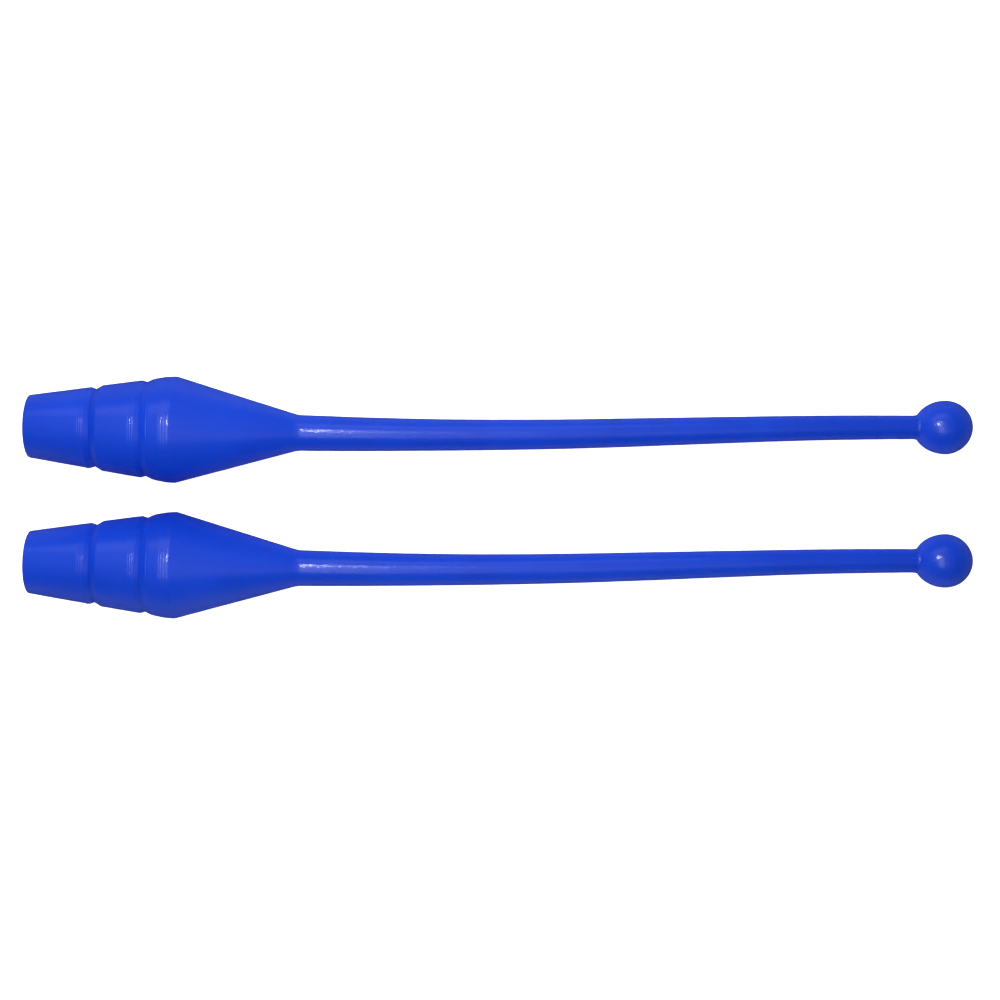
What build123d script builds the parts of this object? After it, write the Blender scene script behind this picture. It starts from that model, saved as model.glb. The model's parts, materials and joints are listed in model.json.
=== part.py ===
from build123d import *

import os
from math import asin, atan, atan2, degrees, hypot, sqrt

# A pair of rhythmic gymnastics clubs, lying side by side on a floor, ready to be picked up.
#
# Each club is a soft moulded skin over a hard core. The core is a hollow two-piece former for
# the bulb and one long rod through the neck, flanged inside the bulb and knobbed inside the
# ball. The skin is a base band, a middle band, a shoulder, a neck sleeve and the ball. A steel
# slug sits in a pocket behind the base and a soft plug closes it. The neck has a gentle bow.
#
# A club is modelled in its own frame: X runs along the bulb's straight axis from the flat base
# towards the ball, and the neck bows towards +Y. Both clubs are then laid on the floor, which
# is the plane Z = 0, each resting on the crest of its bulb and on its ball. Sizes are in mm.

# ---- The whole club -----------------------------------------------------------------------
CLUB_LENGTH = 450.0  # base face to ball tip, along the bowed axis
CLUB_SPACING = 64.2  # between the axes of the two clubs

# ---- Outline of the bulb: distance from the base, and radius -------------------------------
BASE_RADIUS = 14.9
BASE_EDGE = 0.6
LOWER_LIP = (28.7, 19.35)  # top of the base band
LOWER_GROOVE = (31.3, 18.45)  # seam between base band and middle band
MIDDLE_START = (34.5, 20.4)
MIDDLE_LIP = (52.6, 23.15)
UPPER_GROOVE = (55.1, 22.4)  # seam between middle band and shoulder
SHOULDER_START = (58.6, 24.05)
SHOULDER_BEND = (64.5, 25.15)
CREST = (68.9, 25.35)  # widest ring, which the club rests on
CONE_END = (126.6, 8.6)  # where the cone runs out into the neck
LIP_ROUNDING = 1.3
CREST_ROUNDING = 5.0
CONE_END_ROUNDING = 14.0

# ---- Neck and ball -------------------------------------------------------------------------
NECK_START = 131.0  # seam between shoulder and neck sleeve
NECK_BEND_RADIUS = 2900.0  # the bow, nearest the bulb
NECK_BEND_ANGLE = 2.93
NECK_STRAIGHT = 67.0
END_BEND_RADIUS = 2700.0  # turns the ball back into line
NECK_RADII = ((0.0, 8.58), (0.19, 7.72), (0.53, 6.92), (0.77, 6.2), (1.0, 5.75))  # share of length, radius
BALL_RADIUS = 13.0
BALL_NECK_SIDE = 15.4  # the ball is a little longer towards the neck
NECK_SEAT = 3.0  # depth of the sleeve's end in the ball

# ---- Hard core -----------------------------------------------------------------------------
SKIN = 2.5  # thickness of the soft skin over the base of the former
FORMER_BASE_RADIUS = 12.6
FORMER_CREST_RADIUS = 22.75
FORMER_NOSE = (127.0, 6.2)
WALL = 1.8
JOINT_RADIUS = 20.3  # the front former's tongue, in the rear former's socket
JOINT_DEPTH = 4.4
TONGUE = 1.5
BOSS_START, BOSS_END, BOSS_RADIUS = 98.0, 116.0, 6.0  # sleeve that grips the rod in the nose

ROD_RADIUS = 3.5
ROD_FLANGE = (7.5, 3.0)  # radius, thickness: bears on the back of the boss
ROD_KNOB = (5.5, 3.5)  # radius, thickness: keyed into the ball
ROD_PAST_BALL_CENTRE = 3.5

# ---- Base pocket ---------------------------------------------------------------------------
POCKET_RADIUS = 9.0
POCKET_WALL = 1.2
POCKET_ROOT = 8.0  # the pocket's wall and the former's wall are one piece up to here
POCKET_END = 18.2
SLUG_LENGTH = 7.0
SLUG_CLEARANCE = 0.1
PLUG_RADIUS = 10.6
PLUG_RECESS = 0.8
PLUG_BEAD = (6.2, 0.35)  # raised ring on the plug's face: radius, height

SKIN_NAMES = ("base_band", "middle_band", "shoulder_sleeve", "neck_sleeve", "head_ball", "base_plug")


# ---- The bowed axis of the neck ------------------------------------------------------------
ball_offset = BALL_NECK_SIDE * sqrt(1 - (NECK_RADII[-1][1] / BALL_RADIUS) ** 2)  # neck's end to ball centre
first_bend_length = NECK_BEND_RADIUS * NECK_BEND_ANGLE / degrees(1)
end_bend_length = (
    CLUB_LENGTH - BALL_RADIUS - ball_offset - NECK_START - first_bend_length - NECK_STRAIGHT
)
NECK_LENGTH = first_bend_length + NECK_STRAIGHT + end_bend_length

with BuildLine() as neck_axis:
    bow = JernArc((NECK_START, 0), (1, 0), NECK_BEND_RADIUS, NECK_BEND_ANGLE)
    run = Line(bow @ 1, bow @ 1 + NECK_STRAIGHT * (bow % 1))
    unbend = JernArc(run @ 1, run % 1, END_BEND_RADIUS, -degrees(end_bend_length / END_BEND_RADIUS))
    into_ball = Line(unbend @ 1, unbend @ 1 + ball_offset * (unbend % 1))

ball_centre = into_ball @ 1
ball_plane = Plane(origin=ball_centre, x_dir=into_ball % 1, z_dir=(0, 0, 1))
ball_axis = Axis(ball_centre, into_ball % 1)


def across_neck(distance):
    """The plane square to the neck's axis, this far along it from the neck sleeve's first end."""
    wire = neck_axis.wire()
    return Plane(
        origin=wire.position_at(distance, PositionMode.LENGTH),
        z_dir=wire.tangent_at(distance, position_mode=PositionMode.LENGTH),
    )


# ---- Core rod: one bar from inside the bulb to inside the ball, with a head at each end -----
rod_tail = BOSS_START - ROD_FLANGE[1]

with BuildPart() as core_rod:
    with BuildLine() as rod_axis:
        Line((rod_tail, 0), (NECK_START, 0))
        add(neck_axis.line)
        Line(ball_centre, ball_centre + ROD_PAST_BALL_CENTRE * ball_axis.direction)
    with BuildSketch(Plane.YZ.offset(rod_tail)):
        Circle(ROD_RADIUS)
    sweep(path=rod_axis.wire())
    with BuildSketch(Plane.YZ.offset(rod_tail)):
        Circle(ROD_FLANGE[0])
    extrude(amount=ROD_FLANGE[1])
    rod_head = ball_centre + ROD_PAST_BALL_CENTRE * ball_axis.direction
    with BuildSketch(Plane(origin=rod_head, z_dir=-ball_axis.direction)):
        Circle(ROD_KNOB[0])
    extrude(amount=ROD_KNOB[1])

# ---- Rear former: hard cup from the base to the crest, with the slug's pocket in it ---------
former_slope = (FORMER_CREST_RADIUS - FORMER_BASE_RADIUS) / (CREST[0] - SKIN)


def rear_inner_radius(distance):
    """Inner radius of the rear former's wall, this far from the base."""
    return FORMER_BASE_RADIUS + former_slope * (distance - SKIN) - WALL


with BuildPart() as rear_former:
    with BuildSketch(Plane.XY):
        with BuildLine():
            Polyline(
                (SKIN, POCKET_RADIUS),
                (SKIN, FORMER_BASE_RADIUS),
                (CREST[0], FORMER_CREST_RADIUS),
                (CREST[0], JOINT_RADIUS),
                (CREST[0] - JOINT_DEPTH, JOINT_RADIUS),
                (CREST[0] - JOINT_DEPTH, rear_inner_radius(CREST[0] - JOINT_DEPTH)),
                (POCKET_ROOT, rear_inner_radius(POCKET_ROOT)),
                (POCKET_ROOT, POCKET_RADIUS + POCKET_WALL),
                (POCKET_END + WALL, POCKET_RADIUS + POCKET_WALL),
                (POCKET_END + WALL, 0),
                (POCKET_END, 0),
                (POCKET_END, POCKET_RADIUS),
                close=True,
            )
        make_face()
    revolve(axis=Axis.X)

# ---- Front former: hard cone from the crest to the neck, with a tongue and a rod boss -------
cone_slope = (FORMER_CREST_RADIUS - FORMER_NOSE[1]) / (FORMER_NOSE[0] - CREST[0])
tongue_inner = JOINT_RADIUS - TONGUE
tongue_meets_wall = CREST[0] + (FORMER_CREST_RADIUS - WALL - tongue_inner) / cone_slope
wall_at_boss = FORMER_CREST_RADIUS - WALL - cone_slope * (BOSS_END - CREST[0])

with BuildPart() as front_former:
    with BuildSketch(Plane.XY):
        with BuildLine():
            Polyline(
                (CREST[0], FORMER_CREST_RADIUS),
                FORMER_NOSE,
                (FORMER_NOSE[0], ROD_RADIUS),
                (BOSS_START, ROD_RADIUS),
                (BOSS_START, BOSS_RADIUS),
                (BOSS_END, BOSS_RADIUS),
                (BOSS_END, wall_at_boss),
                (tongue_meets_wall, tongue_inner),
                (CREST[0] - JOINT_DEPTH, tongue_inner),
                (CREST[0] - JOINT_DEPTH, JOINT_RADIUS),
                (CREST[0], JOINT_RADIUS),
                close=True,
            )
        make_face()
    revolve(axis=Axis.X)

# ---- Ballast slug: a short steel disc at the bottom of the pocket ---------------------------
slug_start = POCKET_END - SLUG_LENGTH

with BuildPart() as ballast_slug:
    with BuildSketch(Plane.YZ.offset(slug_start)):
        Circle(POCKET_RADIUS - SLUG_CLEARANCE)
    extrude(amount=SLUG_LENGTH)
    chamfer(ballast_slug.edges().filter_by(GeomType.CIRCLE), length=0.5)

# ---- Base plug: soft disc with a stem that fills the pocket's mouth -------------------------
with BuildPart() as base_plug:
    with BuildSketch(Plane.YZ.offset(PLUG_RECESS)):
        Circle(PLUG_RADIUS)
    extrude(amount=SKIN - PLUG_RECESS)
    with BuildSketch(Plane.YZ.offset(SKIN)):
        Circle(POCKET_RADIUS)
    extrude(amount=slug_start - SKIN)
    with BuildSketch(Plane.YZ.offset(PLUG_RECESS - PLUG_BEAD[1])):
        Circle(PLUG_BEAD[0] + 0.5)
        Circle(PLUG_BEAD[0] - 0.5, mode=Mode.SUBTRACT)
    extrude(amount=PLUG_BEAD[1])


def former_radius(distance):
    """Outer radius of the rear former, which the skin's inner face follows."""
    return FORMER_BASE_RADIUS + former_slope * (distance - SKIN)


# ---- Base band: the skin of the bulb's end, turned in over the former's rim -----------------
with BuildPart() as base_band:
    with BuildSketch(Plane.XY):
        with BuildLine():
            outer = FilletPolyline(
                (0, PLUG_RADIUS),
                (0, BASE_RADIUS),
                LOWER_LIP,
                LOWER_GROOVE,
                radius=(BASE_EDGE, LIP_ROUNDING),
            )
            Polyline(
                outer @ 1,
                (LOWER_GROOVE[0], former_radius(LOWER_GROOVE[0])),
                (SKIN, FORMER_BASE_RADIUS),
                (SKIN, PLUG_RADIUS),
                outer @ 0,
            )
        make_face()
    revolve(axis=Axis.X)

# ---- Middle band: the ring of skin between the two grooves ----------------------------------
with BuildPart() as middle_band:
    with BuildSketch(Plane.XY):
        with BuildLine():
            outer = FilletPolyline(
                LOWER_GROOVE, MIDDLE_START, MIDDLE_LIP, UPPER_GROOVE, radius=LIP_ROUNDING
            )
            Polyline(
                outer @ 1,
                (UPPER_GROOVE[0], former_radius(UPPER_GROOVE[0])),
                (LOWER_GROOVE[0], former_radius(LOWER_GROOVE[0])),
                outer @ 0,
            )
        make_face()
    revolve(axis=Axis.X)

# ---- Shoulder sleeve: the crest and the long cone, closed round the rod at its nose ---------
with BuildPart() as shoulder_sleeve:
    with BuildSketch(Plane.XY):
        with BuildLine():
            outer = FilletPolyline(
                UPPER_GROOVE,
                SHOULDER_START,
                SHOULDER_BEND,
                CREST,
                CONE_END,
                (NECK_START, NECK_RADII[0][1]),
                radius=(3.0, 15.0, CREST_ROUNDING, CONE_END_ROUNDING),
            )
            Polyline(
                outer @ 1,
                (NECK_START, ROD_RADIUS),
                (FORMER_NOSE[0], ROD_RADIUS),
                FORMER_NOSE,
                (CREST[0], FORMER_CREST_RADIUS),
                (UPPER_GROOVE[0], former_radius(UPPER_GROOVE[0])),
                outer @ 0,
            )
        make_face()
    revolve(axis=Axis.X)

# ---- Neck sleeve: the tapered, bowed skin of the rod, seated in the ball --------------------
with BuildPart() as neck_sleeve:
    for share, radius in NECK_RADII:
        with BuildSketch(across_neck(share * NECK_LENGTH)):
            Circle(radius)
    loft()
    with BuildSketch(across_neck(NECK_LENGTH)):
        Circle(NECK_RADII[-1][1])
    extrude(amount=NECK_SEAT)
    add(core_rod.part, mode=Mode.SUBTRACT)

# ---- Head ball: round at the tip, drawn out towards the neck --------------------------------
with BuildPart() as head_ball:
    with BuildSketch(ball_plane):
        with BuildLine():
            EllipticalCenterArc((0, 0), BALL_NECK_SIDE, BALL_RADIUS, start_angle=90, arc_size=90)
            CenterArc((0, 0), BALL_RADIUS, start_angle=0, arc_size=90)
            Line((-BALL_NECK_SIDE, 0), (BALL_RADIUS, 0))
        make_face()
    revolve(axis=ball_axis)
    add(core_rod.part, mode=Mode.SUBTRACT)
    add(neck_sleeve.part, mode=Mode.SUBTRACT)

# ---- Laying the clubs down ------------------------------------------------------------------
# The club tips until its crest and its ball both touch the floor, and turns until the line from
# the middle of its base to the middle of its ball lies along X.
crest_radius = shoulder_sleeve.part.bounding_box().max.Y  # the outline's corner is rounded off
reach = ball_centre.X - CREST[0]
tip = degrees(atan(crest_radius / reach) - asin(BALL_RADIUS / hypot(crest_radius, reach)))
turn = -degrees(atan2(ball_centre.Y, ball_centre.X))
lying = Rot(Y=tip) * Rot(Z=turn)

pieces = {
    "base_plug": base_plug,
    "base_band": base_band,
    "middle_band": middle_band,
    "shoulder_sleeve": shoulder_sleeve,
    "neck_sleeve": neck_sleeve,
    "head_ball": head_ball,
    "rear_former": rear_former,
    "front_former": front_former,
    "core_rod": core_rod,
    "ballast_slug": ballast_slug,
}

skin = Compound([pieces[name].part.moved(lying) for name in SKIN_NAMES])
skin_box = skin.bounding_box()
middle = skin_box.center()

os.makedirs("parts", exist_ok=True)
for club, side in (("left_club", 1), ("right_club", -1)):
    place = Pos(-middle.X, side * CLUB_SPACING / 2 - middle.Y, -skin_box.min.Z) * lying
    for name, piece in pieces.items():
        placed = piece.part.moved(place)
        placed.label = f"{club}_{name}"
        export_step(placed, f"parts/{placed.label}.step")
    base_rim = place * Pos(0, (PLUG_RADIUS + BASE_RADIUS) / 2, 0)
    base_normal = Plane(place * Plane.YZ.location).z_dir * -1
    print(club, "base face at", base_rim.position, "facing", base_normal)
    print(club, "ball centre at", (place * Pos(ball_centre)).position)

print("bends of the neck, radius in mm:", NECK_BEND_RADIUS, END_BEND_RADIUS)
print("neck sleeve", round(NECK_LENGTH, 2), "mm long, clubs tipped by", round(tip, 3), "degrees")
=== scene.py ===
import json
import math

import bpy
import numpy as np
from mathutils import Matrix, Vector, noise


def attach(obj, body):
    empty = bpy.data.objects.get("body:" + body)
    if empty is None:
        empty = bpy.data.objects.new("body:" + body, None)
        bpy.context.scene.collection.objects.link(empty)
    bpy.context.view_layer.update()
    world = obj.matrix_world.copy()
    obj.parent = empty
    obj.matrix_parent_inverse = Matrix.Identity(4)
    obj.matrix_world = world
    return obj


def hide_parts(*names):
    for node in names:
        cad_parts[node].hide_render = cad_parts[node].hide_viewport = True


# A pair of glossy blue rhythmic gymnastics clubs on a pale floor.
#
# Every visible piece of skin is turned round the club's bowed axis from an outline, with the
# marks that a mould and a lathe leave on it. A club's own frame has X along the bulb's axis from
# the base, the neck's bow towards +Y, and sizes in millimetres, as in the CAD.

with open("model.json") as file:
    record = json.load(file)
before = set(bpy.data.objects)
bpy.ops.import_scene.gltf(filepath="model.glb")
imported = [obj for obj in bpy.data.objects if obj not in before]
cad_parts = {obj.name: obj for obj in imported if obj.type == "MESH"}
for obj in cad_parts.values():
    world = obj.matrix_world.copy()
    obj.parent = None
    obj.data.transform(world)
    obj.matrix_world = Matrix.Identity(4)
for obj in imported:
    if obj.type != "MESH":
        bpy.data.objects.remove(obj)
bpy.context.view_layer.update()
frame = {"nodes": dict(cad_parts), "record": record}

MM = 0.001

# ---- Sizes of a club, in mm: those of the CAD ----------------------------------------------
CLUB_LENGTH = 450.0
BASE_RADIUS = 14.9
LOWER_GROOVE = (31.3, 18.45)
UPPER_GROOVE = (55.1, 22.4)
CREST = (68.9, 25.35)
NECK_START = 131.0
NECK_RADII = ((0.0, 8.58), (0.19, 7.72), (0.53, 6.92), (0.77, 6.2), (1.0, 5.75))
NECK_BEND_RADIUS = 2900.0
NECK_BEND_ANGLE = math.radians(2.93)
NECK_STRAIGHT = 67.0
END_BEND_RADIUS = 2700.0
BALL_RADIUS = 13.0
BALL_NECK_SIDE = 15.4
NECK_SEAT = 3.0

SKIN = 2.5
FORMER_BASE_RADIUS = 12.6
FORMER_CREST_RADIUS = 22.75
FORMER_NOSE = (127.0, 6.2)
ROD_RADIUS = 3.5
KNOB_RADIUS = 5.5
KNOB_LENGTH = 3.5
KNOB_PAST_CENTRE = 3.5  # from the ball's centre to the knob's end
POCKET_RADIUS = 9.0
PLUG_RADIUS = 10.6
PLUG_RECESS = 0.8
PLUG_BEAD = (6.2, 0.35)  # raised ring on the plug's face: radius, height
PLUG_STEM_END = 11.2
FIT = 0.04  # between a skin and the hard part in it

# ---- Where things lie along the bowed axis --------------------------------------------------
neck_end_radius = NECK_RADII[-1][1]
ball_offset = BALL_NECK_SIDE * math.sqrt(1 - (neck_end_radius / BALL_RADIUS) ** 2)
ball_centre = CLUB_LENGTH - BALL_RADIUS
neck_end = ball_centre - ball_offset
first_bend = NECK_BEND_RADIUS * NECK_BEND_ANGLE
end_bend = neck_end - NECK_START - first_bend - NECK_STRAIGHT

# length and curvature of each stretch of the axis; the last one runs on through the ball
AXIS_STRETCHES = (
    (NECK_START, 0.0),
    (first_bend, 1 / NECK_BEND_RADIUS),
    (NECK_STRAIGHT, 0.0),
    (end_bend, -1 / END_BEND_RADIUS),
    (CLUB_LENGTH, 0.0),
)


def axis_at(along):
    """The point and the heading of the club's axis, this far along it from the base."""
    x = y = heading = 0.0
    left = along
    for length, curvature in AXIS_STRETCHES:
        step = min(left, length)
        turned = heading + curvature * step
        if curvature:
            x += (math.sin(turned) - math.sin(heading)) / curvature
            y += (math.cos(heading) - math.cos(turned)) / curvature
        else:
            x += step * math.cos(heading)
            y += step * math.sin(heading)
        heading = turned
        left -= step
        if left <= 0:
            break
    return x, y, heading


def club_frame(club):
    """The club's own frame in the row frame, from the record's mount on its base."""
    mount = next(m for m in frame["record"]["mounts"] if m["name"] == f"{club}_base")
    along = -Vector(mount["axis"])
    up = along.cross(Vector((0, 1, 0))).normalized()
    side = up.cross(along)
    base = Vector(mount["pos_m"]) - side * (PLUG_RADIUS + BASE_RADIUS) / 2 * MM
    turn = Matrix((along, side, up)).transposed()
    return Matrix.Translation(base) @ turn.to_4x4()


# ---- Outlines, as runs of points (along, radius) in mm ---------------------------------------
# Spacing of the points
LONGEST_STEP = 0.9
NECK_STEP = 1.4
ARC_STEP = 0.16
RING_STEP = 0.12  # across a tool mark


def rounded(corners):
    """Points along the runs between corners (along, radius, rounding), with an arc at each."""
    places = [Vector(corner[:2]) for corner in corners]
    runs = [[places[0]]]
    for i, (_, _, rounding) in enumerate(corners[1:-1], 1):
        if not rounding:
            runs.append([places[i]])
            continue
        before = (places[i - 1] - places[i]).normalized()
        after = (places[i + 1] - places[i]).normalized()
        half = before.angle(after) / 2
        centre = places[i] + (before + after).normalized() * rounding / math.sin(half)
        start = places[i] + before * rounding / math.tan(half) - centre
        end = places[i] + after * rounding / math.tan(half) - centre
        steps = max(3, round(rounding * (math.pi - 2 * half) / ARC_STEP))
        spokes = [start.lerp(end, k / steps).normalized() for k in range(steps + 1)]
        runs.append([centre + spoke * rounding for spoke in spokes])
    runs.append([places[-1]])
    points = []
    for run in runs:
        if points:
            points += between(points[-1], run[0])
        points += run
    return points


def between(start, end, longest=LONGEST_STEP):
    """Evenly spaced points inside a straight run."""
    pieces = max(1, math.ceil((end - start).length / longest))
    return [start.lerp(end, k / pieces) for k in range(1, pieces)]


def neck_radius(along):
    """A smooth curve through the neck's radii."""
    share = (along - NECK_START) / (neck_end - NECK_START)
    places, radii = zip(*NECK_RADII)
    slopes = np.gradient(radii, places)
    i = min(max(np.searchsorted(places, share) - 1, 0), len(places) - 2)
    span = places[i + 1] - places[i]
    t = (share - places[i]) / span
    return (
        (1 + 2 * t) * (1 - t) ** 2 * radii[i]
        + t * (1 - t) ** 2 * span * slopes[i]
        + t * t * (3 - 2 * t) * radii[i + 1]
        + t * t * (t - 1) * span * slopes[i + 1]
    )


# ---- Relief: what a mould and a lathe leave on the skin, in mm -------------------------------
ALLOWANCE = 0.12  # the skin lies this far inside the CAD's outline, so that the relief has room
PARTING_HEIGHT = 0.09
PARTING_WIDTH = 0.24
PARTING_CHANGE = 6  # the parting line's height changes over about this length
WAVE_HEIGHT = 0.04
WAVE_ALONG = 16  # length of a wave along the club
WAVE_AROUND = 11
RIGHT_SEED = 5.0  # moves the right club to another part of the noise
SIDE_SEED = 9.0  # keeps the two parting lines of a club apart in the noise
RINGS = (  # tool marks: along, depth, width
    (4.2, 0.02, 0.3), (26.3, 0.06, 0.25), (27.3, 0.08, 0.25), (28.2, 0.07, 0.25),
    (50.4, 0.06, 0.25), (51.4, 0.08, 0.25), (52.3, 0.07, 0.25), (58.9, 0.11, 0.35),
    (63.9, 0.03, 0.3), (64.9, 0.04, 0.3), (65.9, 0.03, 0.3), (67.4, 0.02, 0.3),
    (436.6, 0.03, 0.2), (439.9, 0.06, 0.22), (441.2, 0.06, 0.22), (442.5, 0.06, 0.22),
)
NIB = (27.6, 0.30, 0.4)  # a scrap of flash on the parting line's -Y side: along, height, width


def bell(distance, width):
    """A smooth hump of height 1, which fades out within about twice its width."""
    return math.exp(-((distance / width) ** 2))


def fine_at_rings(points):
    """The same run, with more points where it crosses a tool mark."""
    fine = points[:1]
    for start, end in zip(points, points[1:]):
        low, high = sorted((start.x, end.x))
        near = any(low < at + 2 * width and at - 2 * width < high for at, _, width in RINGS)
        fine += [*between(start, end, RING_STEP if near else LONGEST_STEP), end]
    return fine


def relief(along, radius, angle, club):
    """Height of the skin's surface over the CAD's outline, at a place on it."""
    seed = RIGHT_SEED if club == "right_club" else 0.0
    across = radius * math.cos(angle)
    place = (along / WAVE_ALONG, across / WAVE_AROUND + seed, radius * math.sin(angle) / WAVE_AROUND)
    height = WAVE_HEIGHT * noise.noise(Vector(place)) - ALLOWANCE
    side = abs(math.remainder(angle, math.pi)) * radius  # distance from the nearer parting line
    line = Vector((along / PARTING_CHANGE, seed, math.copysign(SIDE_SEED, across)))
    uneven = 0.75 + 0.5 * noise.noise(line)  # share of the full height
    height += PARTING_HEIGHT * uneven * bell(side, PARTING_WIDTH)
    near = (ring for ring in RINGS if abs(along - ring[0]) < 1)
    height -= sum(depth * bell(along - at, width) for at, depth, width in near)
    nib_at, nib_height, nib_width = NIB
    if across < 0:
        height += nib_height * bell(math.hypot(along - nib_at, side), nib_width)
    return height


# ---- Turning an outline into a closed mesh ---------------------------------------------------
SEGMENTS = 152
NECK_SEGMENTS = 112
SIDE_DENSITY = 0.8  # how much closer together the segments are at the parting line


def turned_angles(segments):
    """Angles round the axis, closest together at the two parting lines."""
    even = np.arange(segments) / segments * 2 * math.pi
    return even - SIDE_DENSITY / 2 * np.sin(2 * even)


def outward(points):
    """Unit vectors square to a run of an outline that goes from the base towards the ball."""
    tangents = np.gradient(np.array(points), axis=0)
    normals = np.stack((-tangents[:, 1], tangents[:, 0]), 1)
    return normals / np.linalg.norm(normals, axis=1, keepdims=True)


def ring_points(along, radius, angles):
    """Points round the bowed axis, in metres in the club's frame; one point if on the axis."""
    x, y, heading = axis_at(max(along, 0.0))
    if radius <= 0:
        return [Vector((x, y, 0)) * MM]
    across = radius * np.cos(angles)
    return [
        Vector((x - c * math.sin(heading), y + c * math.cos(heading), radius * math.sin(a))) * MM
        for c, a in zip(across, angles)
    ]


def turn(name, club, before, outer, after, material, segments=SEGMENTS):
    """A closed piece, turned round the axis.

    Its outline has three runs, and only the middle one, outer, gets the relief.
    """
    angles = turned_angles(segments)
    outer = fine_at_rings(outer)
    rings = [ring_points(*point, angles) for point in before]
    for point, normal in zip(outer, outward(outer) if outer else []):
        if point.y <= 0:
            rings.append(ring_points(point.x - ALLOWANCE, 0, angles))
            continue
        ring = []
        for angle in angles:
            height = relief(*point, angle, club)
            lifted = point + height * Vector(normal)
            ring += ring_points(*lifted, [angle])
        rings.append(ring)
    rings += [ring_points(*point, angles) for point in after]
    return skin_piece(name, club, rings, material)


def skin_piece(name, club, rings, material):
    """The mesh over a row of rings. It closes on itself, or at the axis at both ends."""
    starts = np.cumsum([0, *map(len, rings)])
    faces = []
    count = len(rings) if len(rings[0]) > 1 else len(rings) - 1
    for i in range(count):
        j = (i + 1) % len(rings)
        segments = max(len(rings[i]), len(rings[j]))
        for k in range(segments):
            near = [starts[i] + k % len(rings[i]), starts[i] + (k + 1) % len(rings[i])]
            far = [starts[j] + k % len(rings[j]), starts[j] + (k + 1) % len(rings[j])]
            corners = [near[0], near[1], far[1], far[0]]
            faces.append(list(dict.fromkeys(corners)))
    mesh = bpy.data.meshes.new(name)
    mesh.from_pydata([point for ring in rings for point in ring], [], faces)
    mesh.transform(club_frame(club))
    mesh.validate()
    mesh.materials.append(material)
    mesh.shade_smooth()
    mesh.set_sharp_from_angle(angle=math.radians(40))
    piece = bpy.data.objects.new(name, mesh)
    bpy.context.scene.collection.objects.link(piece)
    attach(piece, club)
    return piece


# ---- Materials -------------------------------------------------------------------------------
class Graph:
    """A material's node tree, with one short call for each node."""

    def __init__(self, name):
        self.material = bpy.data.materials.new(name)
        self.material.use_nodes = True
        self.tree = self.material.node_tree
        self.surface = self.tree.nodes["Principled BSDF"]
        tilt = club_frame("left_club").to_euler()
        rest = self.node("TexCoord").outputs["Object"]
        placed = self.node("Mapping", {"vector_type": "TEXTURE"}, Vector=rest, Rotation=tilt)
        self.place = placed.outputs[0]

    def node(self, kind, settings=None, **inputs):
        made = self.tree.nodes.new(f"ShaderNode{kind}")
        for key, value in (settings or {}).items():
            setattr(made, key, value)
        for key, value in inputs.items():
            self.feed(made.inputs[key.replace("_", " ")], value)
        return made

    def feed(self, socket, value):
        if isinstance(value, bpy.types.NodeSocket):
            self.tree.links.new(value, socket)
        else:
            socket.default_value = value

    def noise(self, scale, detail=2.0, stretch=(1, 1, 1), roughness=0.5):
        """Noise in the club's own frame, with scale in features per metre."""
        place = self.node("Mapping", Vector=self.place, Scale=stretch).outputs[0]
        made = self.node("TexNoise", Vector=place, Scale=scale, Detail=detail, Roughness=roughness)
        return made.outputs["Fac"]

    def rings(self, scale):
        """Noise that changes only along the club, as a lathe tool leaves it."""
        along = self.node("SeparateXYZ", Vector=self.place).outputs["X"]
        made = self.node("TexNoise", {"noise_dimensions": "1D"}, W=along, Scale=scale, Detail=3.0)
        return made.outputs["Fac"]

    def span(self, value, low, high, to_low=0.0, to_high=1.0):
        made = self.node("MapRange", Value=value, From_Min=low, From_Max=high)
        made.inputs["To Min"].default_value = to_low
        made.inputs["To Max"].default_value = to_high
        return made.outputs["Result"]

    def maths(self, operation, a, b):
        made = self.node("Math", {"operation": operation})
        self.feed(made.inputs[0], a)
        self.feed(made.inputs[1], b)
        return made.outputs[0]

    def mix(self, factor, a, b):
        made = self.node("Mix", {"data_type": "RGBA"})
        self.feed(made.inputs["Factor"], factor)
        self.feed(made.inputs[6], a)
        self.feed(made.inputs[7], b)
        return made.outputs[2]

    def bump(self, height, distance, strength=1.0, under=None):
        made = self.node("Bump", Height=height, Distance=distance, Strength=strength)
        if under:
            self.feed(made.inputs["Normal"], under)
        return made.outputs["Normal"]

    def finish(self, **inputs):
        for key, value in inputs.items():
            self.feed(self.surface.inputs[key.replace("_", " ")], value)
        return self.material


def colour(red, green, blue):
    return (red, green, blue, 1.0)


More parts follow.
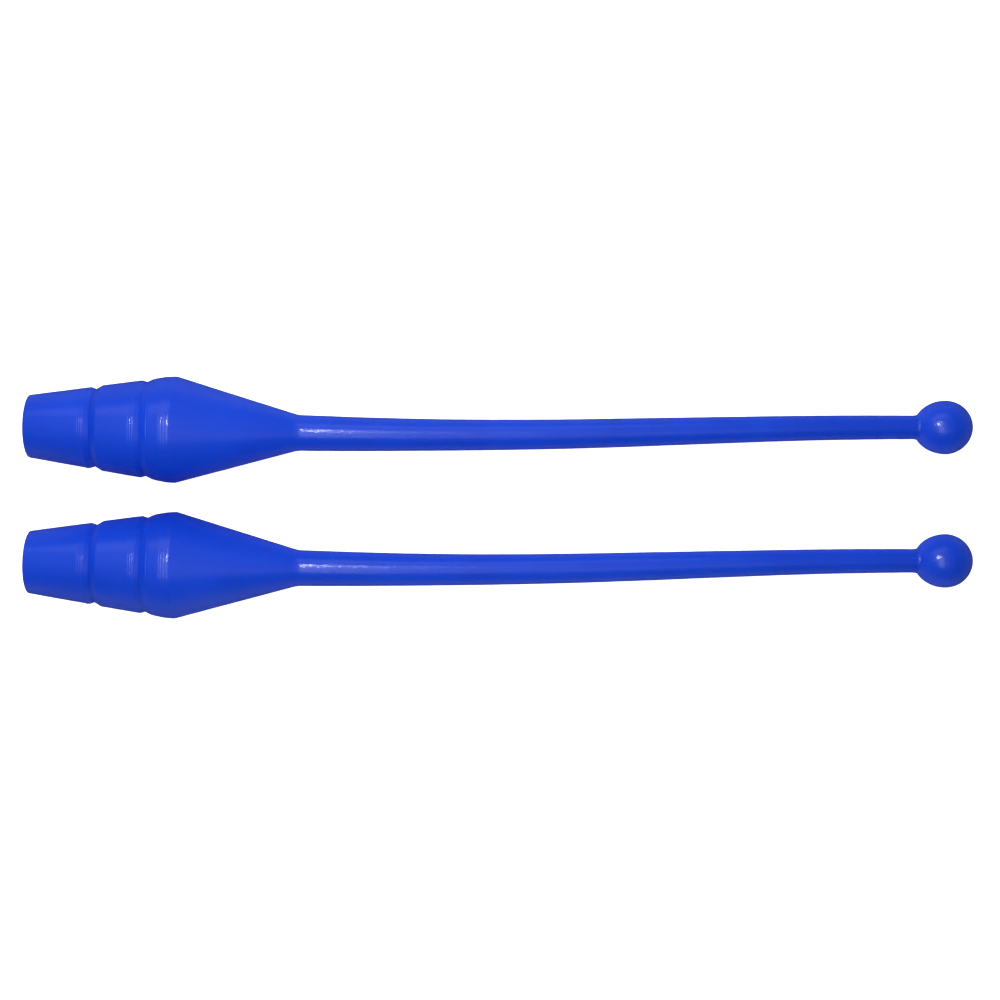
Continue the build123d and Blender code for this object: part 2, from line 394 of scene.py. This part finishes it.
def skin_material(name):
    """Glossy moulded plastic: deep blue, a little cloudy and grainy, with handling scuffs."""
    g = Graph(name)
    cloud = g.span(g.noise(28, 3), 0.35, 0.65)
    mottle = g.span(g.noise(700, 3), 0.3, 0.7)
    plain = g.mix(cloud, colour(0.0003, 0.047, 0.62), colour(0.0008, 0.056, 0.69))
    mottled = g.mix(g.span(mottle, 0, 1, 0.0, 0.3), plain, colour(0.0020, 0.060, 0.72))
    streaks = g.span(g.noise(1.0, 4, stretch=(60, 1100, 1100)), 0.64, 0.74)
    worn = g.span(g.noise(16, 2), 0.52, 0.66)
    scuffs = g.maths("MULTIPLY", streaks, worn)
    body = g.mix(g.span(scuffs, 0, 1, 0.0, 0.5), mottled, colour(0.03, 0.09, 0.70))
    smear = g.span(g.noise(90, 4, stretch=(0.5, 1, 1)), 0.3, 0.7, 0.48, 0.58)
    drawn = g.bump(g.noise(1.0, 3, stretch=(260, 1500, 1500)), 0.00006)
    peel = g.bump(g.noise(800, 3), 0.00006, under=drawn)
    tooled = g.bump(g.rings(1800), 0.00001, under=peel)
    marked = g.bump(scuffs, 0.00003, under=tooled)
    return g.finish(
        Base_Color=body,
        Roughness=smear,
        Normal=marked,
        Specular_IOR_Level=0.24,
        Coat_Weight=0.45,
        Coat_Roughness=0.15,
        Coat_Normal=marked,
    )


def plug_material(name):
    """The same plastic with a satin, moulded face."""
    g = Graph(name)
    deep = colour(0.0035, 0.045, 0.46)
    light = colour(0.0080, 0.056, 0.52)
    body = g.mix(g.span(g.noise(90, 3), 0.35, 0.65), deep, light)
    stipple = g.bump(g.noise(2400, 2), 0.00003)
    return g.finish(
        Base_Color=body,
        Roughness=g.span(g.noise(140, 3), 0.3, 0.7, 0.42, 0.55),
        Normal=stipple,
        Specular_IOR_Level=0.35,
    )


def hard_core_material(name):
    """Off-white moulded plastic, with faint flow marks."""
    g = Graph(name)
    flow = g.span(g.noise(35, 4, stretch=(0.35, 1, 1)), 0.35, 0.65)
    body = g.mix(flow, colour(0.55, 0.55, 0.52), colour(0.66, 0.66, 0.64))
    return g.finish(
        Base_Color=body,
        Roughness=g.span(g.noise(200, 3), 0.3, 0.7, 0.55, 0.7),
        Normal=g.bump(g.noise(900, 2), 0.00003),
    )


def steel_material(name):
    """Turned mild steel: bright, with fine tool rings."""
    g = Graph(name)
    tone = g.span(g.noise(120, 3), 0.35, 0.65)
    body = g.mix(tone, colour(0.46, 0.46, 0.47), colour(0.58, 0.58, 0.58))
    return g.finish(
        Base_Color=body,
        Metallic=1.0,
        Roughness=g.span(g.noise(300, 3), 0.3, 0.7, 0.28, 0.42),
        Normal=g.bump(g.rings(6000), 0.00002),
    )


SKIN_MATERIAL = skin_material("soft_blue_skin")
PLUG_MATERIAL = plug_material("soft_blue_plug")
CORE_MATERIAL = hard_core_material("hard_core_plastic")
STEEL_MATERIAL = steel_material("ballast_steel")

# ---- The pieces of skin ----------------------------------------------------------------------
former_slope = (FORMER_CREST_RADIUS - FORMER_BASE_RADIUS) / (CREST[0] - SKIN)


def former_radius(along):
    """Radius of the rear former with the fit, which the skin's inner face follows."""
    return FORMER_BASE_RADIUS + former_slope * (along - SKIN) + FIT


def inner_run(*corners):
    """A run of hidden or unmarked surface, with plain corners."""
    return rounded([(along, radius, 0) for along, radius in corners])


def base_band(club):
    """The bulb's end, turned in over the rim of the base."""
    outer = rounded([
        (0, PLUG_RADIUS + FIT, 0),
        (0, BASE_RADIUS, 0.6),
        (28.7, 19.35, 1.3),
        (*LOWER_GROOVE, 0),
    ])
    inner = inner_run(
        (LOWER_GROOVE[0], former_radius(LOWER_GROOVE[0])),
        (SKIN, FORMER_BASE_RADIUS + FIT),
        (SKIN, PLUG_RADIUS + FIT),
    )
    return turn(f"{club}_base_band_skin", club, [], outer, inner, SKIN_MATERIAL)


def middle_band(club):
    """The ring between the two grooves."""
    outer = rounded([
        (*LOWER_GROOVE, 0),
        (34.5, 20.4, 1.3),
        (52.6, 23.15, 1.3),
        (*UPPER_GROOVE, 0),
    ])
    inner = inner_run(
        (UPPER_GROOVE[0], former_radius(UPPER_GROOVE[0])),
        (LOWER_GROOVE[0], former_radius(LOWER_GROOVE[0])),
    )
    return turn(f"{club}_middle_band_skin", club, [], outer, inner, SKIN_MATERIAL)


def shoulder_sleeve(club):
    """The widest ring and the long cone, closed round the rod at the neck."""
    outer = rounded([
        (*UPPER_GROOVE, 0),
        (58.6, 24.05, 3.0),
        (64.5, 25.15, 15.0),
        (*CREST, 5.0),
        (126.6, 8.6, 14.0),
        (NECK_START, NECK_RADII[0][1], 0),
    ])
    inner = inner_run(
        (NECK_START, ROD_RADIUS + FIT),
        (FORMER_NOSE[0] + FIT, ROD_RADIUS + FIT),
        (FORMER_NOSE[0] + FIT, FORMER_NOSE[1] + FIT),
        (CREST[0], FORMER_CREST_RADIUS + FIT),
        (UPPER_GROOVE[0], former_radius(UPPER_GROOVE[0])),
    )
    return turn(f"{club}_shoulder_sleeve_skin", club, [], outer, inner, SKIN_MATERIAL)


def neck_sleeve(club):
    """The tapered neck, with its end seated in the ball."""
    count = round((neck_end - NECK_START) / NECK_STEP)
    places = [NECK_START + (neck_end - NECK_START) * k / count for k in range(count + 1)]
    outer = [Vector((along, neck_radius(along))) for along in places]
    inner = [Vector((neck_end + NECK_SEAT, neck_end_radius - ALLOWANCE))]
    inner += inner_run((neck_end + NECK_SEAT, ROD_RADIUS + FIT), (NECK_START, ROD_RADIUS + FIT))
    name = f"{club}_neck_sleeve_skin"
    return turn(name, club, [], outer, inner, SKIN_MATERIAL, segments=NECK_SEGMENTS)


def head_ball(club):
    """The ball, with a collar over the neck's end and a hollow for the rod's knob."""
    flare = 1.5  # the ball's collar runs this far down the neck
    lip = 0.9  # the collar meets the ball this far outside the neck
    tip = [
        Vector((ball_centre + BALL_RADIUS * math.cos(a), BALL_RADIUS * math.sin(a)))
        for a in np.linspace(math.pi / 2, 0, 84)
    ]
    tip[-1].y = 0.0
    meet = math.pi - math.asin((neck_end_radius + lip) / BALL_RADIUS)
    neck_side = [
        Vector((ball_centre + BALL_NECK_SIDE * math.cos(a), BALL_RADIUS * math.sin(a)))
        for a in np.linspace(meet, math.pi / 2, 60)
    ]
    collar = Vector((neck_end - flare, neck_end_radius + ALLOWANCE))
    corner = Vector((neck_end + 0.1, neck_end_radius + ALLOWANCE + 0.04))
    blend = [
        collar.lerp(corner, t).lerp(corner.lerp(neck_side[0], t), t)
        for t in np.linspace(0, 1, 14)[:-1]
    ]
    seat_end = neck_end + NECK_SEAT + FIT
    seat_radius = neck_end_radius - ALLOWANCE + FIT
    knob_end = ball_centre + KNOB_PAST_CENTRE + FIT
    knob_start = knob_end - KNOB_LENGTH - 2 * FIT
    inside = inner_run(
        (knob_end, 0.0),
        (knob_end, KNOB_RADIUS + FIT),
        (knob_start, KNOB_RADIUS + FIT),
        (knob_start, ROD_RADIUS + FIT),
        (seat_end, ROD_RADIUS + FIT),
        (seat_end, seat_radius),
        (neck_end - flare, seat_radius),
    )
    outside = [*blend, *neck_side, *tip[1:]]
    return turn(f"{club}_head_ball_skin", club, inside, outside, [], SKIN_MATERIAL)


def base_plug(club):
    """A plug with a gate mark in the middle of its face and a raised ring round it."""
    face = PLUG_RECESS + ALLOWANCE
    gate = 0.25  # depth of the gate mark
    bead, bead_height = PLUG_BEAD
    rim = PLUG_RADIUS - 0.1
    front = rounded([
        (face + gate, 0, 0),
        (face + gate, 1.1, 0.15),
        (face, 1.5, 0.15),
        (face, bead - 0.5, 0.2),
        (face - bead_height, bead - 0.3, 0.15),
        (face - bead_height, bead + 0.3, 0.15),
        (face, bead + 0.5, 0.2),
        (face, rim, 0.3),
    ])
    back = inner_run(
        (SKIN - FIT, rim),
        (SKIN - FIT, POCKET_RADIUS - FIT),
        (PLUG_STEM_END, POCKET_RADIUS - FIT),
        (PLUG_STEM_END, 0),
    )
    return turn(f"{club}_base_plug_skin", club, [], [], [*front, *back], PLUG_MATERIAL)


# ---- Both clubs ------------------------------------------------------------------------------
SKINS = {
    "base_band": (base_band, "soft_blue_skin"),
    "middle_band": (middle_band, "soft_blue_skin"),
    "shoulder_sleeve": (shoulder_sleeve, "soft_blue_skin"),
    "neck_sleeve": (neck_sleeve, "soft_blue_skin"),
    "head_ball": (head_ball, "soft_blue_skin"),
    "base_plug": (base_plug, "soft_blue_plug"),
}
CORE = {
    "rear_former": CORE_MATERIAL,
    "front_former": CORE_MATERIAL,
    "core_rod": CORE_MATERIAL,
    "ballast_slug": STEEL_MATERIAL,
}

for club in ("left_club", "right_club"):
    for node, (make, slot) in SKINS.items():
        piece = make(club)
        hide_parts(f"{club}_{node}")
    for node, material in CORE.items():
        mesh = frame["nodes"][f"{club}_{node}"].data
        mesh.materials.clear()
        mesh.materials.append(material)


# ---- Floor, light and camera -----------------------------------------------------------------
AIM = Vector((0, 0, 0.02))


def floor():
    """A pale floor with a glow of its own, so that it looks plain white."""
    half = 12.0
    corners = [(-half, -half, 0), (half, -half, 0), (half, half, 0), (-half, half, 0)]
    mesh = bpy.data.meshes.new("floor")
    mesh.from_pydata(corners, [], [(0, 1, 2, 3)])
    made = bpy.data.objects.new("floor", mesh)
    bpy.context.scene.collection.objects.link(made)
    g = Graph("pale_floor")
    tone = g.span(g.noise(3, 3), 0.3, 0.7)
    material = g.finish(
        Base_Color=g.mix(tone, colour(0.84, 0.84, 0.85), colour(0.87, 0.87, 0.87)),
        Roughness=0.9,
        Specular_IOR_Level=0.1,
        Emission_Color=colour(1, 1, 1),
        Emission_Strength=1.05,
    )
    material.cycles.emission_sampling = "NONE"  # so that all the samples go to the lamps
    mesh.materials.append(material)
    made.visible_glossy = False


def area_light(name, place, size, power, tint=(1, 1, 1)):
    """A soft lamp that points at the clubs. Place and size are in metres, power in watts."""
    data = bpy.data.lights.new(name, "AREA")
    data.shape = "RECTANGLE"
    data.size, data.size_y = size
    data.energy = power
    data.color = tint
    lamp = bpy.data.objects.new(name, data)
    bpy.context.scene.collection.objects.link(lamp)
    lamp.location = place
    lamp.rotation_mode = "QUATERNION"
    lamp.rotation_quaternion = (AIM - Vector(place)).to_track_quat("-Z", "Y")


def studio_world():
    """A weak white fill, seen as a pale wall behind the floor."""
    world = bpy.data.worlds.new("studio")
    bpy.context.scene.world = world
    world.use_nodes = True
    nodes, links = world.node_tree.nodes, world.node_tree.links
    seen = nodes.new("ShaderNodeLightPath").outputs["Is Camera Ray"]
    strength = nodes.new("ShaderNodeMapRange")
    strength.inputs["To Min"].default_value = 0.15
    strength.inputs["To Max"].default_value = 1.0
    links.new(seen, strength.inputs["Value"])
    links.new(strength.outputs["Result"], nodes["Background"].inputs["Strength"])
    nodes["Background"].inputs["Color"].default_value = colour(1.0, 1.0, 1.0)
    world.cycles_visibility.glossy = False


floor()
area_light("overhead_softbox", (-0.27, 0.0, 1.50), (1.5, 0.5), 7.4)
area_light("side_softbox", (-0.30, 1.15, 1.0), (1.4, 0.6), 3.0)
area_light("key_lamp", (-0.155, 0.21, 0.75), (0.06, 0.06), 2.7)
area_light("warm_lamp", (0.18, -0.20, 0.73), (0.34, 0.34), 0.22, (1.0, 0.85, 0.8))
studio_world()
bpy.context.scene.view_settings.view_transform = "Standard"

camera_data = bpy.data.cameras.new("camera")
camera_data.sensor_width = 36.0
camera_data.lens = 59.6
camera = bpy.data.objects.new("camera", camera_data)
bpy.context.scene.collection.objects.link(camera)
camera.location = (-0.0022, -0.0012, 0.810)
bpy.context.scene.camera = camera
